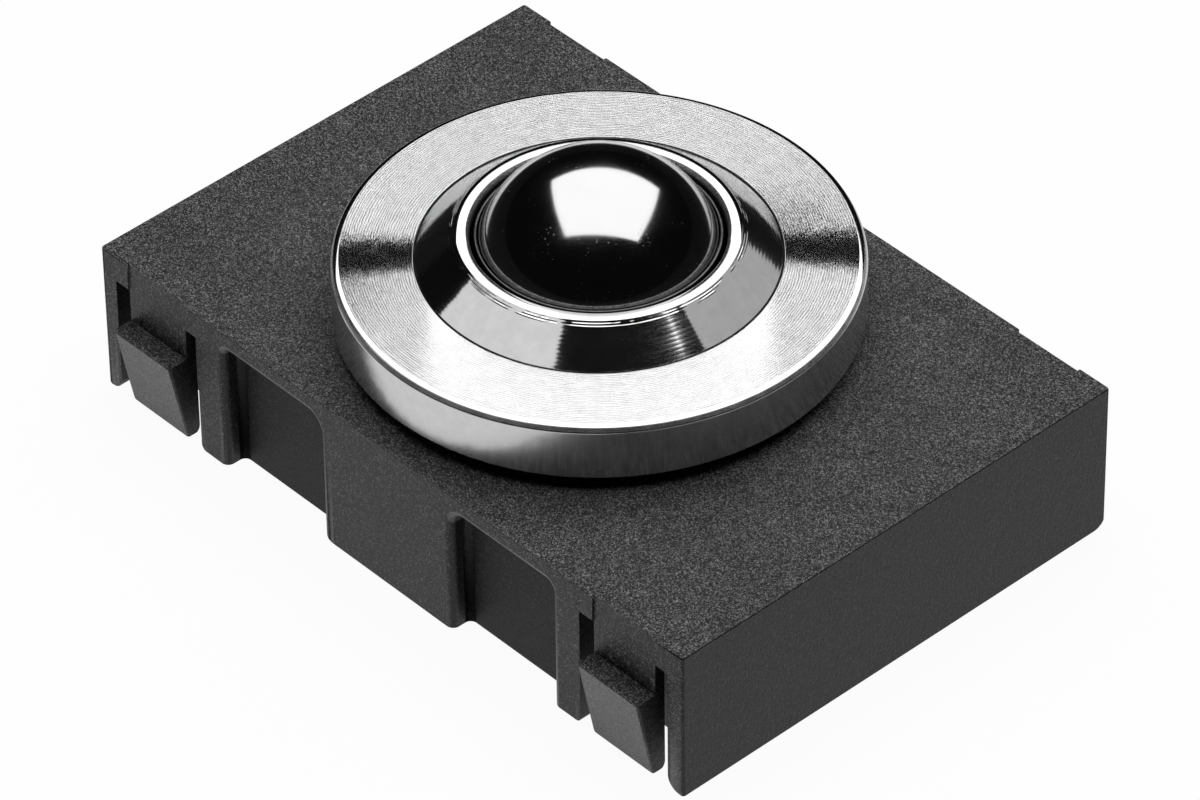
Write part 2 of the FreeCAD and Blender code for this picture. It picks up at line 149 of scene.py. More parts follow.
LIP_BORE = ball_radius_at(LIP_BOTTOM) + MOUTH_CLEARANCE
GROOVE_RADIUS = LIP_BORE + GROOVE_DEPTH
RIM_EDGE = LIP_BORE + RIM_WALL
CONE_FOOT = RIM_EDGE + CONE_RUN
SIDE_FACET_TOP = FLANGE_TOP - TOP_FACET[1]
SIDE_TOP = SIDE_FACET_TOP - SIDE_FACET[1]
FACE_EDGE = FLANGE_RADIUS - SIDE_FACET[0] - TOP_FACET[0]


# Small helpers for meshes

def new_object(name, mesh_maker, material):
    """Make an object at the origin from a function that fills a bmesh."""
    bm = bmesh.new()
    mesh_maker(bm)
    mesh = bpy.data.meshes.new(name)
    bm.to_mesh(mesh)
    bm.free()
    mesh.materials.append(material)
    made = bpy.data.objects.new(name, mesh)
    scene.collection.objects.link(made)
    return made


def new_piece(name, mesh_maker, body, node, material):
    """Make a piece that stands for one CAD node, rides on its body and has one material."""
    piece = new_object(name, mesh_maker, material)
    for polygon in piece.data.polygons:
        polygon.use_smooth = True
    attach(piece, body)
    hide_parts(node)
    return piece


def bevel_edges(bm, edges, width, segments, miter="SHARP"):
    bmesh.ops.bevel(bm, geom=edges, offset=width, offset_type="OFFSET", affect="EDGES",
                    segments=segments, profile=0.5, material=-1, clamp_overlap=True,
                    miter_outer=miter)


def round_turned_edges(piece):
    """Break the turned edges with a small round, and keep each broad face even right up to it."""
    bevel = piece.modifiers.new("edge_round", "BEVEL")
    bevel.width = STEEL_EDGE_ROUND
    bevel.segments = 2
    bevel.limit_method = "ANGLE"
    bevel.angle_limit = FACET_ANGLE
    bevel.miter_outer = "MITER_ARC"
    even = piece.modifiers.new("even_faces", "WEIGHTED_NORMAL")
    even.mode = "FACE_AREA"
    even.weight = BROAD_FACE_WEIGHT
    even.keep_sharp = True


def keep_walls_flat(piece):
    """Shade the walls flat, so that the rounds beside them don't pull their shine."""
    bm = bmesh.new()
    bm.from_mesh(piece.data)
    for face in bm.faces:
        area = face.calc_area()
        straight = max(abs(part) for part in face.normal) > STRAIGHT_WALL
        face.smooth = not (area > BROAD_FACE_AREA or (straight and area > SMALL_WALL_AREA))
    for edge in bm.edges:
        edge.smooth = len({face.smooth for face in edge.link_faces}) == 1
    bm.to_mesh(piece.data)
    bm.free()


def closed_section(bm, points):
    """A closed section in the XZ plane from (radius, height) points."""
    corners = [bm.verts.new((x, 0, z)) for x, z in points]
    return [bm.edges.new((a, b)) for a, b in zip(corners, corners[1:] + corners[:1])]


def turn(bm, edges, steps=TURNING_STEPS):
    """Spin a section once round the upright axis and close the seam."""
    verts = list({v for e in edges for v in e.verts})
    bmesh.ops.spin(bm, geom=verts + list(edges), cent=(0, 0, 0), axis=(0, 0, 1), dvec=(0, 0, 0),
                   angle=FULL_TURN, steps=steps, use_merge=True)
    bmesh.ops.remove_doubles(bm, verts=bm.verts, dist=MERGE_DISTANCE / 10)
    bmesh.ops.recalc_face_normals(bm, faces=bm.faces)


def arc_points(radius, centre_height, start, end, count):
    """Points on a circle round the ball's centre, by angle above the level plane."""
    angles = [start + (end - start) * n / count for n in range(count + 1)]
    return [(radius * math.cos(a), centre_height + radius * math.sin(a)) for a in angles]


# Small helpers for materials

def new_material(name):
    material = bpy.data.materials.new(name)
    material.use_nodes = True
    material.node_tree.nodes.clear()
    return material, material.node_tree


def add(tree, kind, **settings):
    node = tree.nodes.new("ShaderNode" + kind)
    for key, value in settings.items():
        setattr(node, key, value)
    return node


def feed(tree, source, node, socket):
    """Link a socket, or set a plain value on it."""
    target = node.inputs[socket]
    if isinstance(source, bpy.types.NodeSocket):
        tree.links.new(source, target)
    else:
        target.default_value = source


def math_of(tree, operation, first, second=0.0, third=0.0):
    node = add(tree, "Math", operation=operation)
    feed(tree, first, node, 0)
    feed(tree, second, node, 1)
    feed(tree, third, node, 2)
    return node.outputs[0]


def vector_of(tree, operation, first, second=None):
    node = add(tree, "VectorMath", operation=operation)
    feed(tree, first, node, 0)
    if second is not None:
        feed(tree, second, node, "Scale" if operation == "SCALE" else 1)
    return node.outputs["Value" if operation == "LENGTH" else "Vector"]


def place_of(tree):
    """Object coordinates of the shaded point."""
    return add(tree, "TexCoord").outputs["Object"]


def split(tree, vector):
    node = add(tree, "SeparateXYZ")
    feed(tree, vector, node, 0)
    return node.outputs[0], node.outputs[1], node.outputs[2]


def join(tree, x, y, z):
    node = add(tree, "CombineXYZ")
    feed(tree, x, node, 0)
    feed(tree, y, node, 1)
    feed(tree, z, node, 2)
    return node.outputs[0]


def noise_of(tree, vector, size, detail=3.0, roughness=0.55):
    """Noise whose spots are about this large, in metres or in the vector's own units."""
    node = add(tree, "TexNoise")
    feed(tree, vector, node, "Vector")
    feed(tree, 1 / size, node, "Scale")
    feed(tree, detail, node, "Detail")
    feed(tree, roughness, node, "Roughness")
    return node.outputs["Fac"]


def remap(tree, value, low, high, new_low, new_high):
    node = add(tree, "MapRange", clamp=True)
    for socket, number in enumerate((value, low, high, new_low, new_high)):
        feed(tree, number, node, socket)
    return node.outputs[0]


NOISE_REACH = 0.2
CLOSE_REACH = 0.15


def spread(tree, noise, new_low, new_high, reach=NOISE_REACH):
    """Stretch noise, taken to reach this far to either side of a half, over a new range."""
    return remap(tree, noise, 0.5 - reach, 0.5 + reach, new_low, new_high)


def band_mask(tree, value, low, high, soft):
    """One inside this range of a number and zero outside it."""
    rising = remap(tree, value, low - soft, low, 0.0, 1.0)
    falling = remap(tree, value, high, high + soft, 1.0, 0.0)
    return math_of(tree, "MULTIPLY", rising, falling)


def mix_of(tree, factor, first, second):
    """Mix two greys or colours."""
    node = add(tree, "Mix", data_type="RGBA")
    feed(tree, factor, node, 0)
    for socket, value in ((6, first), (7, second)):
        feed(tree, value if isinstance(value, bpy.types.NodeSocket) else grey(value), node, socket)
    return node.outputs[2]


def blend_of(tree, factor, first, second):
    """Mix two numbers."""
    node = add(tree, "Mix", data_type="FLOAT")
    for socket, value in ((0, factor), (2, first), (3, second)):
        feed(tree, value, node, socket)
    return node.outputs[0]


def bump_of(tree, height, distance):
    node = add(tree, "Bump")
    feed(tree, height, node, "Height")
    feed(tree, distance, node, "Distance")
    feed(tree, 1.0, node, "Strength")
    return node.outputs["Normal"]


def finish_material(tree, **inputs):
    shader = add(tree, "BsdfPrincipled")
    for socket, value in inputs.items():
        feed(tree, value, shader, socket.replace("_", " "))
    output = add(tree, "OutputMaterial")
    tree.links.new(shader.outputs[0], output.inputs[0])


def grey(value):
    return (value, value, value, 1.0)


# Black glass-filled plastic

GRAIN_SIZE = 0.065 * MM
GRAIN_DEPTH = 0.03 * MM
DRAG_SIZE = 0.16 * MM
PAINTED_LIGHT_SPECK_SIZE = 0.09 * MM
CLOUD_SIZE = 4 * MM
LEVEL_FACING = (0.6, 0.95)
UPPER_ROUND_FACING = (0.7, 0.93)
UPWARD = (0.1, 0.3)
DOWNWARD = (-0.08, -0.15)
ENDWAYS = (0.3, 0.8)
TOP_GREY = 0.24
TOP_GRAIN_POWER = 3.0
WALL_GRAIN_POWER = 4.0
TOP_CONTRAST = (0.78, 1.22)
GLINTS = (0.72, 0.82)
PAINTED_GLINT_GREY = 0.12
WALL_GREYS = (0.02, 0.34)
UPWARD_SHADE_SHARE = 0.1
END_WALL_SHADE_SHARE = 0.3
UNDERSIDE_PAINTED_LIGHT = 0.1
UNDERSIDE_LIGHT_CONTRAST = (0.5, 1.5)
CLOUD_CONTRAST = (0.9, 1.12)
EDGE_GLINTS = (0.4, 0.7)
EDGE_PAINTED_GLINT_GREY = 0.09
RECESS_DEPTHS = (15.2 * MM, 15.55 * MM)
RECESS_REACH = (14.6 * MM, 14.7 * MM)
RECESS_PAINTED_SHADE = 0.7
RECESS_DULLER = 0.15
LONG_WALL_RELIEF = 0.25
END_WALL_RELIEF = 1.6
GRAIN_RELIEF = 0.25
WALL_ROUGHNESS = (0.40, 0.48)
TOP_ROUGHNESS = (0.38, 0.52)
PLASTIC_SHINE = 0.26


def moulded_plastic():
    """Spark-eroded grain on level faces, smoother walls with fine drag marks."""
    material, tree = new_material("moulded_plastic")
    place = place_of(tree)
    x, y, z = split(tree, place)
    endways, _, facing = split(tree, add(tree, "NewGeometry").outputs["Normal"])
    endways = math_of(tree, "ABSOLUTE", endways)
    level = remap(tree, facing, *LEVEL_FACING, 0.0, 1.0)

    cells = add(tree, "TexVoronoi", feature="F1")
    feed(tree, place, cells, "Vector")
    feed(tree, 1 / GRAIN_SIZE, cells, "Scale")
    grain = split(tree, cells.outputs["Color"])[0]
    pit = cells.outputs["Distance"]
    coarse = noise_of(tree, place, 3 * GRAIN_SIZE, 2.0, 0.6)
    drag = noise_of(tree, join(tree, x, y, math_of(tree, "MULTIPLY", z, 0.5)), DRAG_SIZE, 3.0, 0.65)
    cloud = noise_of(tree, place, CLOUD_SIZE)
    painted_light_specks = noise_of(tree, place, PAINTED_LIGHT_SPECK_SIZE, 1.0)

    # Level faces: bright and dark grains, with a few specks of painted highlight added to the colour
    top = math_of(tree, "MULTIPLY", math_of(tree, "POWER", grain, TOP_GRAIN_POWER), TOP_GREY)
    top = math_of(tree, "MULTIPLY", top, spread(tree, coarse, *TOP_CONTRAST, CLOSE_REACH))
    top = math_of(tree, "ADD", top, remap(tree, painted_light_specks, *GLINTS, 0.0, PAINTED_GLINT_GREY))

    # Walls: fewer bright grains, and painted shade that leaves next to none where the wall leans up or
    # faces endways
    wall = math_of(tree, "MULTIPLY", math_of(tree, "POWER", grain, WALL_GRAIN_POWER),
                   spread(tree, drag, *WALL_GREYS))
    painted_shade_by_facing = math_of(tree, "MULTIPLY", remap(tree, facing, *UPWARD, 1.0, UPWARD_SHADE_SHARE),
                          remap(tree, endways, *ENDWAYS, 1.0, END_WALL_SHADE_SHARE))
    wall = math_of(tree, "MULTIPLY", wall, painted_shade_by_facing)
    # Painted light: faces that lean downward are painted lighter, in specks
    painted_underside_light = math_of(tree, "MULTIPLY", remap(tree, facing, *DOWNWARD, 0.0, UNDERSIDE_PAINTED_LIGHT),
                     spread(tree, painted_light_specks, *UNDERSIDE_LIGHT_CONTRAST, CLOSE_REACH))
    wall = math_of(tree, "ADD", wall, painted_underside_light)
    # Painted shade: the recesses along the long sides are darker in colour, and also rougher
    recess = math_of(tree, "MULTIPLY",
                     band_mask(tree, math_of(tree, "ABSOLUTE", y), *RECESS_DEPTHS, 0.1 * MM),
                     remap(tree, math_of(tree, "ABSOLUTE", x), *RECESS_REACH, 1.0, 0.0))
    wall = math_of(tree, "MULTIPLY", wall, math_of(tree, "MULTIPLY_ADD", recess, -RECESS_PAINTED_SHADE, 1.0))

    # Both together, slightly cloudy, with specks of painted highlight along the upper rounds
    tone = vector_of(tree, "SCALE", mix_of(tree, level, wall, top),
                     spread(tree, cloud, *CLOUD_CONTRAST, CLOSE_REACH))
    edge = math_of(tree, "MULTIPLY", band_mask(tree, facing, *UPPER_ROUND_FACING, 0.05),
                   remap(tree, painted_light_specks, *EDGE_GLINTS, 0.0, EDGE_PAINTED_GLINT_GREY))
    tone = vector_of(tree, "ADD", tone, join(tree, edge, edge, edge))

    wall_relief = math_of(tree, "MULTIPLY", drag,
                          remap(tree, endways, *ENDWAYS, LONG_WALL_RELIEF, END_WALL_RELIEF))
    relief = blend_of(tree, level, wall_relief, math_of(tree, "MULTIPLY_ADD", grain, GRAIN_RELIEF, pit))
    wall_gloss = math_of(tree, "MULTIPLY_ADD", recess, RECESS_DULLER, spread(tree, drag, *WALL_ROUGHNESS))
    gloss = blend_of(tree, level, wall_gloss, remap(tree, grain, 0.0, 1.0, *TOP_ROUGHNESS))
    finish_material(tree, Base_Color=tone, Roughness=gloss, Specular_IOR_Level=PLASTIC_SHINE,
                    Normal=bump_of(tree, relief, GRAIN_DEPTH))
    return material


# Bright turned steel

FEED_PITCH = 0.15 * MM
FEED_CONTRAST = 0.2
FEED_DRIFT = 1.6
RIDGE_PITCH = 0.0131 * MM
OUTER_FLANK_SHARE = 0.5
SHARE_UNEVEN = 0.05
OUTER_FLANK_SLOPES = (0.27, 0.35)
INNER_FLANK_SLOPES = (0.33, 0.51)
CROWN_SLOPE = 0.05
RIM_OUTER_SLOPE = 0.38
RIM_OUTER_BAND = 0.24 * MM
RIM_MARK_PITCH = 0.13 * MM
RIM_MARK_SLOPE = 0.3
RIM_MARK_BAND = (0.04 * MM, 0.3 * MM)
CONE_PITCH = 0.2 * MM
CONE_SLOPE = 0.013
CONE_HOLLOW = 0.024
SCRATCH_DEPTH = 0.8
FEED_MARK_DEPTHS = (0.6, 1.3)
SATIN_SLOPE = 0.01
SIDE_SLOPE = 0.018
FACE_MOTTLE_SHARE = 0.4
SPECK_SIZE = 0.08 * MM
PATCH_SIZE = 0.8 * MM
FACET_ROUGHNESS = 0.08
CONE_ROUGHNESS = 0.07
FACE_ROUGHNESS = 0.11
RIM_ROUGHNESS = 0.07
SIDE_ROUGHNESS = 0.16
MOUTH_ROUGHNESS = 0.45
EDGE_ROUGHNESS = 0.25
ROUGHNESS_CONTRAST = (0.92, 1.1)
STEEL_GREYS = (0.54, 0.58)
MOUTH_PAINTED_SHADE_GREYS = (0.03, 0.45)
BURR_CONTRAST = (0.1, 1.0)
GROOVE_PAINTED_SHADE_GREY = 0.02
STEEL_ANISOTROPY = 0.92


def turned_steel():
    """Feed grooves on the flange's face, polish with thin scratches on the cone."""
    material, tree = new_material("turned_steel")
    place = place_of(tree)
    x, y, z = split(tree, place)
    flat = join(tree, x, y, 0.0)
    radius = vector_of(tree, "LENGTH", flat)
    outward = vector_of(tree, "NORMALIZE", flat)
    sideways = vector_of(tree, "CROSS_PRODUCT", (0.0, 0.0, 1.0), outward)
    normal = add(tree, "NewGeometry").outputs["Normal"]
    down_slope = vector_of(tree, "CROSS_PRODUCT", sideways, normal)

    def zone(radii, radius_soft, heights, height_soft):
        """One inside a ring of these radii and heights."""
        return math_of(tree, "MULTIPLY", band_mask(tree, radius, *radii, radius_soft),
                       band_mask(tree, z, *heights, height_soft))

    def arc_noise(arc, step, detail=2.0, roughness=0.6):
        """Noise drawn out round the axis: arc is its length as a share of the radius."""
        ax, ay, _ = split(tree, vector_of(tree, "SCALE", outward, 1.0 / arc))
        across = math_of(tree, "MULTIPLY", math_of(tree, "ADD", radius, z), 1.0 / step)
        return noise_of(tree, join(tree, ax, ay, across), 1.0, detail, roughness)

    # Where the housing's surfaces are
    face = zone((CONE_FOOT, FACE_EDGE), 0.03 * MM,
                (FLANGE_TOP - 0.02 * MM, FLANGE_TOP + 0.02 * MM), 0.01 * MM)
    cone = zone((RIM_EDGE, CONE_FOOT), 0.02 * MM, (FLANGE_TOP + 0.03 * MM, RIM - 0.03 * MM), 0.02 * MM)
    rim = zone((LIP_BORE, RIM_EDGE), 0.03 * MM, (RIM - 0.04 * MM, RIM + 0.04 * MM), 0.01 * MM)
    mouth = zone((BALL_RADIUS / 2, LIP_BORE + MOUTH_TAPER[0] - 0.02 * MM), 0.04 * MM,
                 (LEDGE, RIM - 0.02 * MM), 0.02 * MM)
    # The groove at the cone's foot, which gets painted shade
    corner = zone((CONE_FOOT - 0.005 * MM, CONE_FOOT + FOOT_GROOVE[0]), 0.02 * MM,
                  (FLANGE_TOP - 0.1 * MM, FLANGE_TOP + 0.02 * MM), 0.02 * MM)
    side = band_mask(tree, z, SEAT, SIDE_TOP, 0.02 * MM)
    edge_band = band_mask(tree, z, SIDE_TOP + 1.5 * STEEL_EDGE_ROUND, SIDE_FACET_TOP, 0.02 * MM)
    edge_band = math_of(tree, "MULTIPLY", edge_band, remap(tree, radius, RIM_EDGE, CONE_FOOT, 0.0, 1.0))

    # Flange face: fine ridges with an outer and an inner flank, in coarser rings of feed
    drift = math_of(tree, "MULTIPLY", arc_noise(0.12, 0.5 * MM), FEED_DRIFT * FULL_TURN)
    feed_wave = math_of(tree, "SINE", math_of(tree, "MULTIPLY_ADD", radius, FULL_TURN / FEED_PITCH, drift))
    share = math_of(tree, "MULTIPLY_ADD", feed_wave, FEED_CONTRAST, OUTER_FLANK_SHARE)
    uneven = spread(tree, arc_noise(0.06, 0.2 * MM), -SHARE_UNEVEN, SHARE_UNEVEN)
    share = math_of(tree, "ADD", share, uneven)
    ridge = math_of(tree, "FRACT", math_of(tree, "MULTIPLY", radius, 1 / RIDGE_PITCH))
    outer_flank = math_of(tree, "LESS_THAN", ridge, share)
    depth = arc_noise(0.012, 0.045 * MM)
    outer_slope = spread(tree, depth, *OUTER_FLANK_SLOPES)
    inner_slope = spread(tree, depth, *INNER_FLANK_SLOPES)
    both = math_of(tree, "ADD", outer_slope, inner_slope)
    lean = math_of(tree, "SUBTRACT", math_of(tree, "MULTIPLY", outer_flank, both), inner_slope)
    groove = math_of(tree, "MULTIPLY", lean, face)

    # Cone: thin scratches, cusps that the tool leaves at every turn, and rings under the rim
    turns = math_of(tree, "MULTIPLY_ADD", arc_noise(0.5, 3.0 * MM), 0.5,
                    math_of(tree, "MULTIPLY", radius, 1 / CONE_PITCH))
    cusps = math_of(tree, "MULTIPLY_ADD", math_of(tree, "FRACT", turns), 2.0, -1.0)
    cusps = math_of(tree, "MULTIPLY", cusps, spread(tree, arc_noise(0.1, CONE_PITCH), *FEED_MARK_DEPTHS))
    scratch = spread(tree, arc_noise(0.3, 0.09 * MM, 3.0, 0.7), -SCRATCH_DEPTH, SCRATCH_DEPTH)
    scratch = math_of(tree, "MULTIPLY", math_of(tree, "ADD", scratch, cusps),
                      math_of(tree, "MULTIPLY", cone, CONE_SLOPE))
    scratch = math_of(tree, "MULTIPLY_ADD", cone, CONE_HOLLOW, scratch)
    under_rim = band_mask(tree, radius, RIM_EDGE + RIM_MARK_BAND[0], RIM_EDGE + RIM_MARK_BAND[1], 0.04 * MM)
    rings = math_of(tree, "SINE", math_of(tree, "MULTIPLY", radius, FULL_TURN / RIM_MARK_PITCH))
    rings = math_of(tree, "MULTIPLY", rings, spread(tree, arc_noise(0.2, 0.1 * MM), 0.0, 1.0, 0.1))
    rings = math_of(tree, "MULTIPLY", rings, math_of(tree, "MULTIPLY", under_rim, RIM_MARK_SLOPE))
    scratch = math_of(tree, "ADD", scratch, math_of(tree, "MULTIPLY", rings, cone))

    # Rim: crowned, and leaning outwards at its outer edge
    inner_rim = band_mask(tree, radius, LIP_BORE, LIP_BORE + MOUTH_TAPER[0] + RIM_WALL / 4, RIM_WALL / 4)
    crown = math_of(tree, "MULTIPLY", math_of(tree, "MULTIPLY", rim, inner_rim), CROWN_SLOPE)
    outer_rim = remap(tree, radius, RIM_EDGE - RIM_OUTER_BAND, RIM_EDGE, 0.0, RIM_OUTER_SLOPE)
    crown = math_of(tree, "MULTIPLY_ADD", rim, outer_rim, crown)

    # Slight unevenness on the face and the side
    speck = noise_of(tree, place, SPECK_SIZE, 1.0)
    speck_other = noise_of(tree, join(tree, y, z, x), SPECK_SIZE, 1.0)
    patch = noise_of(tree, place, PATCH_SIZE)
    patch_other = noise_of(tree, join(tree, z, x, y), PATCH_SIZE)
    satin = math_of(tree, "MULTIPLY", face, SATIN_SLOPE)
    mottle = math_of(tree, "MULTIPLY_ADD", face, FACE_MOTTLE_SHARE * SATIN_SLOPE,
                     math_of(tree, "MULTIPLY", side, SIDE_SLOPE))

    def tilt_of(fine, broad):
        """How far the surface leans one way, from fine specks and broader unevenness."""
        fine = math_of(tree, "MULTIPLY", spread(tree, fine, -1.0, 1.0, 0.3), satin)
        return math_of(tree, "MULTIPLY_ADD", spread(tree, broad, -1.0, 1.0), mottle, fine)

    def tilted(direction, amount, base):
        return vector_of(tree, "ADD", base, vector_of(tree, "SCALE", direction, amount))

    marks = math_of(tree, "ADD", math_of(tree, "ADD", groove, scratch), crown)
    radial_tilt = math_of(tree, "ADD", marks, tilt_of(speck, patch))
    leaning = tilted(down_slope, radial_tilt, normal)
    leaning = tilted(sideways, tilt_of(speck_other, patch_other), leaning)
    settled = vector_of(tree, "NORMALIZE", leaning)

    gloss = FACET_ROUGHNESS
    for mask, roughness in ((cone, CONE_ROUGHNESS), (face, FACE_ROUGHNESS), (rim, RIM_ROUGHNESS),
                            (side, SIDE_ROUGHNESS), (mouth, MOUTH_ROUGHNESS), (edge_band, EDGE_ROUGHNESS)):
        gloss = math_of(tree, "MULTIPLY_ADD", mask, roughness - FACET_ROUGHNESS, gloss)
    gloss = math_of(tree, "MULTIPLY", gloss, spread(tree, patch, *ROUGHNESS_CONTRAST))

    tone = mix_of(tree, spread(tree, patch, 0.0, 1.0, CLOSE_REACH), *STEEL_GREYS)
    # Mouth: burr specks, and painted shade that darkens it from the rim downwards
    mouth_burrs_and_shade = remap(tree, z, RIM - MOUTH_TAPER[1], RIM, *MOUTH_PAINTED_SHADE_GREYS)
    mouth_burrs_and_shade = math_of(tree, "MULTIPLY", mouth_burrs_and_shade, spread(tree, speck, *BURR_CONTRAST, CLOSE_REACH))
    tone = mix_of(tree, mouth, tone, join(tree, mouth_burrs_and_shade, mouth_burrs_and_shade, mouth_burrs_and_shade))
    # Painted shade in the groove at the cone's foot
    tone = mix_of(tree, corner, tone, GROOVE_PAINTED_SHADE_GREY)
    finish_material(tree, Base_Color=tone, Metallic=1.0, Roughness=gloss, Anisotropic=STEEL_ANISOTROPY,
                    Tangent=down_slope, Normal=settled)
    return material


# Ball, ring, cup and seal

BALL_GREYS = (0.38, 0.42)
BALL_ROUGHNESS = (0.08, 0.13)
HAZE_SIZE = 2.5 * MM
DUST_SIZE = 0.13 * MM
DUST_SPECKS = (0.64, 0.72)
DUST_PATCH_SIZE = 1.4 * MM
DUST_PATCHES = (0.5, 0.65)
DUST_ROUGHNESS = 0.3
RING_SPECK_SIZE = 0.3 * MM
RING_GREYS = (0.17, 0.3)
RING_ROUGHNESS = (0.16, 0.26)
RING_EDGE_BAND = (0.09 * MM, 0.03 * MM)
RING_PAINTED_HIGHLIGHT_SHARES = (0.1, 0.4)
CUP_SPECK_SIZE = 0.2 * MM
CUP_GREYS = (0.32, 0.5)
CUP_ROUGHNESS = (0.3, 0.5)
CUP_RELIEF = 0.004 * MM
FELT_GREYS = (0.006, 0.03)
FELT_RELIEF = 0.05 * MM
FELT_ROUGHNESS = 0.95
FELT_FIBRE_SIZE = 0.08 * MM


def polished_ball():
    """Mirror steel with a breath of haze and a few specks of dust."""
    material, tree = new_material("polished_ball")
    place = place_of(tree)
    haze = noise_of(tree, place, HAZE_SIZE, 4.0)
    dusty = remap(tree, noise_of(tree, place, DUST_PATCH_SIZE), *DUST_PATCHES, 0.0, 1.0)
    dust = remap(tree, noise_of(tree, place, DUST_SIZE, 2.0), *DUST_SPECKS, 0.0, DUST_ROUGHNESS)
    gloss = math_of(tree, "MULTIPLY_ADD", dust, dusty, spread(tree, haze, *BALL_ROUGHNESS))
    finish_material(tree, Base_Color=mix_of(tree, haze, *BALL_GREYS), Metallic=1.0, Roughness=gloss)
    return material


def ring_steel():
    """Darkened steel, with a painted highlight along the lip's upper edge."""
    material, tree = new_material("ring_steel")
    place = place_of(tree)
    specks = noise_of(tree, place, RING_SPECK_SIZE)
    # Painted highlight: the tone is brighter in a band along the lip's upper edge
    edge = remap(tree, split(tree, place)[2], RING_TOP - RING_EDGE_BAND[0], RING_TOP - RING_EDGE_BAND[1],
                 *RING_PAINTED_HIGHLIGHT_SHARES)
    tone = math_of(tree, "MULTIPLY", edge, spread(tree, specks, *RING_GREYS))
    finish_material(tree, Base_Color=join(tree, tone, tone, tone), Metallic=1.0,
                    Roughness=spread(tree, specks, *RING_ROUGHNESS))
    return material


def race_steel():
    """Ground and hardened steel of the cup."""
    material, tree = new_material("race_steel")
    specks = noise_of(tree, place_of(tree), CUP_SPECK_SIZE, 4.0)
    finish_material(tree, Base_Color=mix_of(tree, specks, *CUP_GREYS), Metallic=1.0,
                    Roughness=spread(tree, specks, *CUP_ROUGHNESS),
                    Normal=bump_of(tree, specks, CUP_RELIEF))
    return material


def seal_felt():
    """Oiled black felt."""
    material, tree = new_material("seal_felt")
    fibres = noise_of(tree, place_of(tree), FELT_FIBRE_SIZE, 4.0, 0.7)
    finish_material(tree, Base_Color=mix_of(tree, fibres, *FELT_GREYS), Roughness=FELT_ROUGHNESS,
                    Normal=bump_of(tree, fibres, FELT_RELIEF))
    return material


# Pieces

def by_a_hook(x):
    return HOOK_SPAN[0] < abs(x) < HOOK_SPAN[1]


def on_hook_nose(x, y, z):
    return by_a_hook(x) and abs(y) > WALL - MERGE_DISTANCE and z < UNDER_PLATE


def on_foot_edge(x, y, z):
    at_the_wall = WALL - FOOT_EDGE_BAND < abs(y) < WALL + MERGE_DISTANCE
    return at_the_wall and not by_a_hook(x) and z < UNDER_PLATE


def foot_height(along):
    """How high a foot's lower edge is here: zero, or up on the arc of a rounded corner."""
    height = 0.0
    for place, inward, radius in FOOT_CORNERS:
        depth = (along - place) * inward
        if -MERGE_DISTANCE < depth < radius:
            height = max(height, radius - math.sqrt(radius ** 2 - (radius - max(depth, 0.0)) ** 2))
    return height


def cut_skirt(bm, side, point, normal):
    """Cut the skirt of one long side along a plane."""
    faces = [face for face in bm.faces
             if any(vert.co.y * side > SKIRT_BACK - MERGE_DISTANCE and vert.co.z < FOOT_EDGE_BAND * 2
                    for vert in face.verts)]
    edges = {edge for face in faces for edge in face.edges}
    verts = {vert for face in faces for vert in face.verts}
    bmesh.ops.bisect_plane(bm, geom=[*verts, *edges, *faces], dist=MERGE_DISTANCE / 5,
                           plane_co=point, plane_no=normal)


def cut_feet(bm):
    """Cut the skirts wherever a rounded corner needs an edge, and just beside its start."""
    quarter_steps = [math.pi / 2 * step / CORNER_STEPS for step in range(1, CORNER_STEPS + 1)]
    for side in (-1, 1):
        for place, inward, radius in FOOT_CORNERS:
            depths = [radius * (1 - math.cos(angle)) for angle in quarter_steps]
            for depth in [-CUT_STEP] + depths:
                cut_skirt(bm, side, (-side * (place + inward * depth), 0, 0), (1, 0, 0))
        for depth in (SKIRT_BACK, SKIRT_BACK + CUT_STEP):
            cut_skirt(bm, side, (0, side * depth, 0), (0, 1, 0))


def shape_feet(bm):
    """Give the feet the crisp lower edges and rounded corners that the photograph shows."""
    cut_feet(bm)
    for vert in bm.verts:
        x, y, z = vert.co
        on_skirt = SKIRT_BACK + MERGE_DISTANCE < abs(y) < WALL + MERGE_DISTANCE
        at_back_end = y > 0 and abs(x) > HOOK_SPAN[1]
        if by_a_hook(x) or at_back_end or not on_skirt:
            continue
        height = foot_height(x if y < 0 else -x)
        on_edge = z < FOOT_EDGE_BAND and abs(y) > WALL - FOOT_EDGE_BAND
        if on_edge or z < height:
            vert.co.z = height
    feet = [vert for vert in bm.verts if vert.co.z < 2 * FOOT_EDGE_BAND and abs(vert.co.y) > SKIRT_BACK]
    bmesh.ops.remove_doubles(bm, verts=feet, dist=CLOSE_CUTS)
    for vert in bm.verts:
        if abs(abs(vert.co.x) - CARRIER_END) < CLOSE_CUTS:
            vert.co.x = math.copysign(CARRIER_END, vert.co.x)
    bmesh.ops.dissolve_limit(bm, angle_limit=FLAT_ANGLE, verts=bm.verts, edges=bm.edges)


def sharp_edges(bm):
    return [edge for edge in bm.edges if edge.calc_face_angle(0) > SHARP_ANGLE]


def carrier_mesh(bm):
    """The moulding's own mesh, its loose triangles joined into flat faces and its edges rounded."""
    bm.from_mesh(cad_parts["carrier"].data)
    bmesh.ops.remove_doubles(bm, verts=bm.verts, dist=MERGE_DISTANCE)
    bmesh.ops.dissolve_limit(bm, angle_limit=FLAT_ANGLE, verts=bm.verts, edges=bm.edges)
    shape_feet(bm)
    for is_chosen, width in ((on_hook_nose, HOOK_EDGE_ROUND), (on_foot_edge, FOOT_EDGE_ROUND)):
        chosen = [edge for edge in sharp_edges(bm) if all(is_chosen(*vert.co) for vert in edge.verts)]
        bevel_edges(bm, chosen, width, segments=4)
    bevel_edges(bm, sharp_edges(bm), CARRIER_EDGE_ROUND, segments=2, miter="ARC")


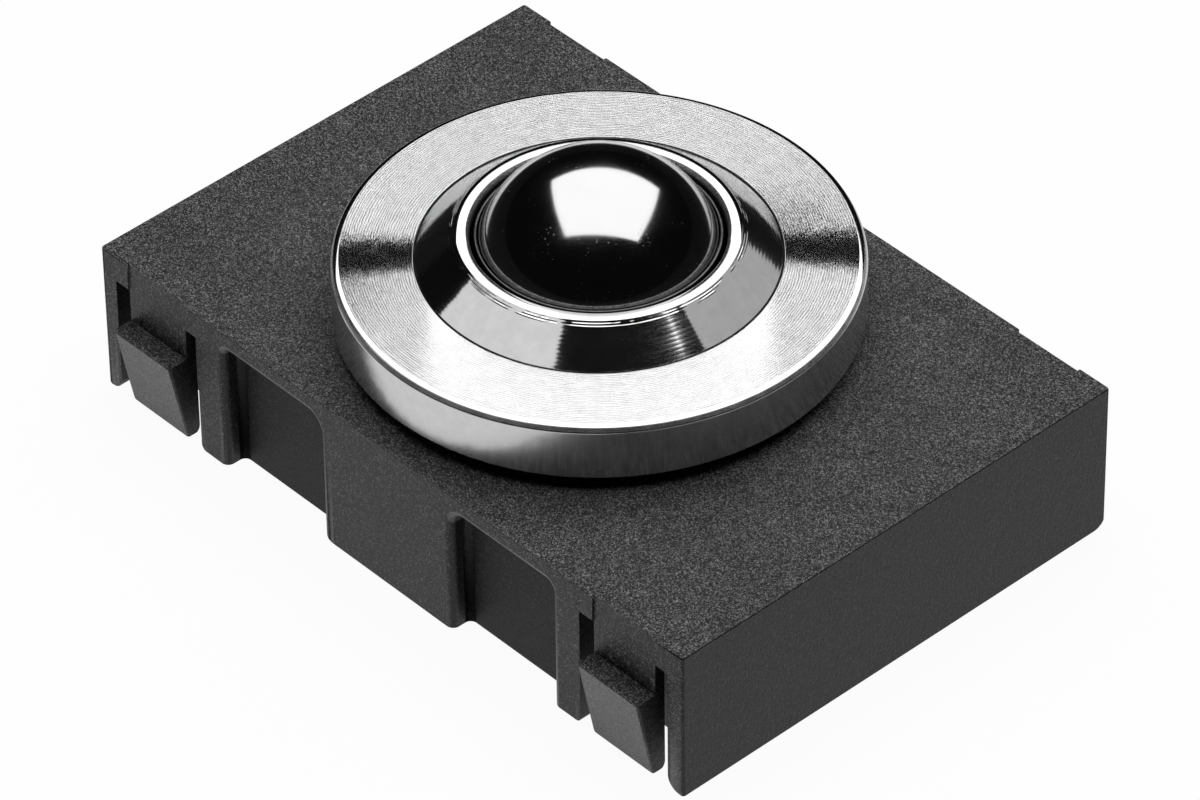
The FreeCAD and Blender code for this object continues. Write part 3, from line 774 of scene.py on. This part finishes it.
def housing_mesh(bm):
    """The turned housing, from its rolled lower lip over flange, cone and rim into the bore."""
    side_facet = FLANGE_RADIUS - SIDE_FACET[0]
    rolled_bore = BORE_RADIUS - ROLLED_LIP[0]
    rolled_top = BODY_BOTTOM + ROLLED_LIP[1]
    section = [
        (rolled_bore, BODY_BOTTOM), (BODY_RADIUS - BODY_CHAMFER, BODY_BOTTOM),
        (BODY_RADIUS, BODY_BOTTOM + BODY_CHAMFER), (BODY_RADIUS, SEAT),
        (FLANGE_RADIUS - FOOT_CHAMFER, SEAT), (FLANGE_RADIUS, SEAT + FOOT_CHAMFER),
        (FLANGE_RADIUS, SIDE_TOP), (side_facet, SIDE_FACET_TOP),
        (side_facet - TOP_FACET[0], FLANGE_TOP), (CONE_FOOT + FOOT_GROOVE[0], FLANGE_TOP),
        (CONE_FOOT + FOOT_GROOVE[0] / 3, FLANGE_TOP - FOOT_GROOVE[1]), (CONE_FOOT, FLANGE_TOP),
        (RIM_EDGE, RIM), (LIP_BORE + MOUTH_TAPER[0], RIM), (LIP_BORE, RIM - MOUTH_TAPER[1]),
        (LIP_BORE, LIP_BOTTOM), (GROOVE_RADIUS, LIP_BOTTOM), (GROOVE_RADIUS, LEDGE),
        (ball_radius_at(LEDGE) + LEDGE_CLEARANCE, LEDGE), (CUP_MOUTH_RADIUS, CUP_TOP),
        (BORE_RADIUS, CUP_TOP), (BORE_RADIUS, rolled_top), (rolled_bore, rolled_top),
    ]
    turn(bm, closed_section(bm, section))


def ring_mesh(bm):
    """The retaining ring: a foot in the groove and a thin lip that follows the ball."""
    foot_top = RING_FOOT + RING_FOOT_HEIGHT
    edge = GROOVE_RADIUS - RING_CLEARANCE
    inner = BALL_RADIUS + RING_GAP
    outer = inner + RING_SKIN
    rising_steps, falling_steps = RING_LIP_STEPS

    def angle_at(shell, height):
        return math.asin((height - BALL_CENTRE) / shell)

    rising = arc_points(outer, BALL_CENTRE, angle_at(outer, foot_top), angle_at(outer, RING_TOP),
                        rising_steps)
    falling = arc_points(inner, BALL_CENTRE, angle_at(inner, RING_TOP), angle_at(inner, RING_FOOT),
                         falling_steps)
    turn(bm, closed_section(bm, [(edge, RING_FOOT), (edge, foot_top)] + rising + falling))


def ball_mesh(bm):
    bmesh.ops.create_icosphere(bm, subdivisions=BALL_SUBDIVISIONS, radius=BALL_RADIUS,
                               matrix=Matrix.Translation((0, 0, BALL_CENTRE)))


def dress_object():
    """Make the pieces that replace CAD nodes, give the hidden ones a material, return the housing."""
    steel = turned_steel()
    carrier = new_piece("carrier_moulding", carrier_mesh, "base", "carrier", moulded_plastic())
    keep_walls_flat(carrier)
    housing = new_piece("turned_housing", housing_mesh, "base", "housing", steel)
    round_turned_edges(housing)
    new_piece("retaining_lip", ring_mesh, "base", "retaining_ring", ring_steel())
    new_piece("rolling_ball", ball_mesh, "ball", "load_ball", polished_ball())
    for node, material in (("ball_cup", race_steel()), ("support_balls", polished_ball()),
                           ("seal_ring", seal_felt())):
        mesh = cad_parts[node].data
        mesh.materials.clear()
        mesh.materials.append(material)
    return housing


# Studio: directions are (right, away, up) as seen from the camera's side

BOX_HEIGHT = 0.6
BOX_RADIANCE = 2.4
BOX_CORNER = (-0.55, -0.31, 1.0)
BOX_ACROSS = (1.204, -0.059, -0.059)
BOX_ALONG = (0.043, 1.119, -0.35)
CARD_DISTANCE = 0.5
LEFT_CARD = {"start": (-0.34, -0.505, 1), "end": (-1.6, 0.58, 1), "breadth": 0.4, "radiance": 1.08}
RIGHT_CARD = {"start": (0.82, -0.24, 1), "end": (3.56, 3.65, 1), "breadth": 0.5, "radiance": 0.61}
STRIP_RADIUS = 85 * MM
STRIP_HEIGHT = 32 * MM
STRIP_STEPS = 64
STRIP_CLOTH_SIZE = 2 * MM
STRIP_GREYS = (0.002, 0.006)
STRIP_ROUGHNESS = 0.9
FLOOR_RADIUS = 1.5
FLOOR_STEPS = 96
FLOOR_PAPER_SIZE = 3 * MM
FLOOR_GREYS = (0.88, 0.9)
FLOOR_ROUGHNESS = 0.9
FLOOR_SHINE = 0.1
FLOOR_GLOW = 0.95
COVE_RADIUS = 0.2
COVE_ANGLE = math.radians(80)
COVE_STEPS = 8
ROOM_GREY = 0.005


def direction_of(azimuth, elevation):
    """Unit vector from the object towards this side; azimuth 0 is -Y and 90 is +X."""
    a, e = math.radians(azimuth), math.radians(elevation)
    return Vector((math.sin(a) * math.cos(e), -math.cos(a) * math.cos(e), math.sin(e)))


def studio_direction(right, away, up):
    """A direction given as seen from the camera's side: to its right, away from it, and up."""
    a = math.radians(CAMERA_AZIMUTH)
    across = Vector((math.cos(a), math.sin(a), 0))
    depth = Vector((-math.sin(a), math.cos(a), 0))
    return across * right + depth * away + Vector((0, 0, up))


def add_camera():
    back = direction_of(CAMERA_AZIMUTH, CAMERA_ELEVATION)
    side = studio_direction(1, 0, 0)
    up = back.cross(side)
    axes = Matrix((side, up, back)).transposed().to_4x4()
    axes = axes @ Matrix.Rotation(math.radians(CAMERA_ROLL), 4, "Z")
    data = bpy.data.cameras.new("camera")
    data.sensor_width = SENSOR_WIDTH_MM
    data.lens = FOCAL_PIXELS / IMAGE_WIDTH * SENSOR_WIDTH_MM
    data.clip_start, data.clip_end = CAMERA_REACH
    camera = bpy.data.objects.new("camera", data)
    camera.matrix_world = Matrix.Translation(CAMERA_TARGET + back * CAMERA_DISTANCE) @ axes
    scene.collection.objects.link(camera)
    scene.camera = camera


def add_panel(name, centre, across, along, width, length, radiance):
    """A rectangular soft light; its face glows with this radiance towards the object."""
    data = bpy.data.lights.new(name, "AREA")
    data.shape = "RECTANGLE"
    data.size = width
    data.size_y = length
    data.energy = radiance * math.pi * width * length
    facing = across.cross(along)
    if facing.dot(centre) < 0:
        across = -across
        facing = -facing
    axes = Matrix((across, along, facing)).transposed().to_4x4()
    lamp = bpy.data.objects.new(name, data)
    lamp.matrix_world = Matrix.Translation(centre) @ axes
    lamp.visible_camera = False
    scene.collection.objects.link(lamp)
    return lamp


def add_overhead_box():
    """The main light hangs over the object, its far edge lower than its near one."""
    corner, width, length = (studio_direction(*part) * BOX_HEIGHT
                             for part in (BOX_CORNER, BOX_ACROSS, BOX_ALONG))
    across = width.normalized()
    along = (length - across * length.dot(across)).normalized()
    add_panel("overhead_box", corner + (width + length) / 2, across, along, width.length, length.length,
              BOX_RADIANCE)


def add_card(name, card, lit):
    """A dim reflector between two directions that only brightens one piece, as a card by its side does."""
    first, last = (studio_direction(*card[end]).normalized() for end in ("start", "end"))
    middle = (first + last).normalized()
    length = 2 * math.tan(first.angle(last) / 2) * CARD_DISTANCE
    along = (last - first).normalized()
    across = along.cross(middle)
    lamp = add_panel(name, middle * CARD_DISTANCE, across, along, card["breadth"] * CARD_DISTANCE, length,
                     card["radiance"])
    group = bpy.data.collections.new(name + "_lights")
    group.objects.link(lit)
    lamp.light_linking.receiver_collection = group


def add_lights(housing):
    add_overhead_box()
    add_card("left_card", LEFT_CARD, housing)
    add_card("right_card", RIGHT_CARD, housing)


def strip_mesh(bm):
    corners = [bm.verts.new((STRIP_RADIUS, 0, height)) for height in (0, STRIP_HEIGHT)]
    turn(bm, [bm.edges.new(corners)], STRIP_STEPS)


def add_black_strip():
    """A black strip round the object, as used beside a polished ball: only reflections show it."""
    material, tree = new_material("black_strip")
    cloth = noise_of(tree, place_of(tree), STRIP_CLOTH_SIZE)
    finish_material(tree, Base_Color=mix_of(tree, cloth, *STRIP_GREYS), Roughness=STRIP_ROUGHNESS)
    strip = new_object("black_strip", strip_mesh, material)
    for kind in ("camera", "diffuse", "transmission", "volume_scatter", "shadow"):
        setattr(strip, "visible_" + kind, False)


def floor_mesh(bm):
    """A round table top that curves up into a low pale wall."""
    centre = bm.verts.new((0, 0, 0))
    start = bm.verts.new((FLOOR_RADIUS - COVE_RADIUS, 0, 0))
    bm.edges.new((centre, start))
    bmesh.ops.spin(bm, geom=[start], cent=(FLOOR_RADIUS - COVE_RADIUS, 0, COVE_RADIUS), axis=(0, -1, 0),
                   dvec=(0, 0, 0), angle=COVE_ANGLE, steps=COVE_STEPS)
    turn(bm, list(bm.edges), FLOOR_STEPS)


def pale_floor():
    """Pale paper that the camera, metal and glass see as white, and that keeps the object's shadow."""
    material, tree = new_material("pale_floor")
    paper = noise_of(tree, place_of(tree), FLOOR_PAPER_SIZE, 4.0)
    shader = add(tree, "BsdfPrincipled")
    feed(tree, mix_of(tree, paper, *FLOOR_GREYS), shader, "Base Color")
    feed(tree, FLOOR_ROUGHNESS, shader, "Roughness")
    feed(tree, FLOOR_SHINE, shader, "Specular IOR Level")
    glow = add(tree, "Emission")
    feed(tree, grey(1.0), glow, "Color")
    feed(tree, 1.0, glow, "Strength")
    path = add(tree, "LightPath")
    seen = math_of(tree, "MAXIMUM", path.outputs["Is Camera Ray"], path.outputs["Is Glossy Ray"])
    seen = math_of(tree, "MAXIMUM", seen, path.outputs["Is Transmission Ray"])
    blend = add(tree, "MixShader")
    feed(tree, math_of(tree, "MULTIPLY", seen, FLOOR_GLOW), blend, 0)
    tree.links.new(shader.outputs[0], blend.inputs[1])
    tree.links.new(glow.outputs[0], blend.inputs[2])
    output = add(tree, "OutputMaterial")
    tree.links.new(blend.outputs[0], output.inputs[0])
    return material


def set_world():
    world = bpy.data.worlds.new("studio")
    world.use_nodes = True
    background = world.node_tree.nodes["Background"]
    background.inputs["Color"].default_value = grey(ROOM_GREY)
    background.inputs["Strength"].default_value = 1.0
    scene.world = world
    scene.view_settings.view_transform = "Standard"


housing_piece = dress_object()
add_camera()
add_lights(housing_piece)
add_black_strip()
new_object("floor", floor_mesh, pale_floor())
set_world()
